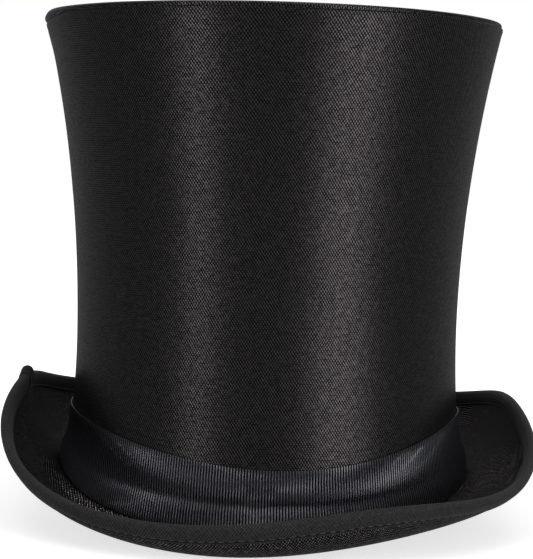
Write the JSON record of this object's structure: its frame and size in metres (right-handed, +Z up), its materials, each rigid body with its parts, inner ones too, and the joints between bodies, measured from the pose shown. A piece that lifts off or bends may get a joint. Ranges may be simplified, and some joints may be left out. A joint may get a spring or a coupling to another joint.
{
  "type": "top hat",
  "caption": "Tall black satin top hat with a flared crown, flat tip, ribbed band, curled bound brim, lining and sweatband.",
  "frame": {"origin": "middle of the hat's overall box, on the surface that the brim stands on", "axes": "+Z up through the flat tip of the crown, -Y towards the front of the hat, +X towards the wearer's left"},
  "size_m": [0.2366, 0.2804, 0.2215],
  "materials": {
    "satin": "black polyester satin with a fine twill-like grain and a soft sheen",
    "grosgrain": "black ribbed grosgrain ribbon, satin sheen on the ribs",
    "binding_cloth": "matte black woven bias binding",
    "buckram": "stiffened dark buckram, matte",
    "tip_board": "stiff fibre board, matte",
    "lining": "smooth black lining taffeta",
    "sweatband_cloth": "plain black woven band, matte",
    "reed": "thin black plastic cord",
    "wire": "spring steel millinery wire",
    "thread": "black sewing thread"
  },
  "bodies": {
    "root": {"crown_side_cover": "satin", "crown_side_stiffener": "buckram", "crown_side_lining": "lining", "brim_collar": "buckram", "crown_tip_cover": "satin", "crown_tip_stiffener": "tip_board", "crown_tip_lining": "lining", "tip_seam_thread": "thread", "sweatband_thread": "thread", "sweatband": "sweatband_cloth", "sweatband_reed": "reed", "sweatband_join_tape": "binding_cloth", "hat_band": "grosgrain", "hat_band_lap": "grosgrain", "hat_band_tack": "thread", "brim_core": "buckram", "brim_upper_cover": "satin", "brim_under_cover": "satin", "brim_edge_wire": "wire", "brim_binding": "binding_cloth", "brim_binding_join": "binding_cloth", "binding_thread_upper": "thread", "binding_thread_under": "thread"}
  },
  "joints": []
}
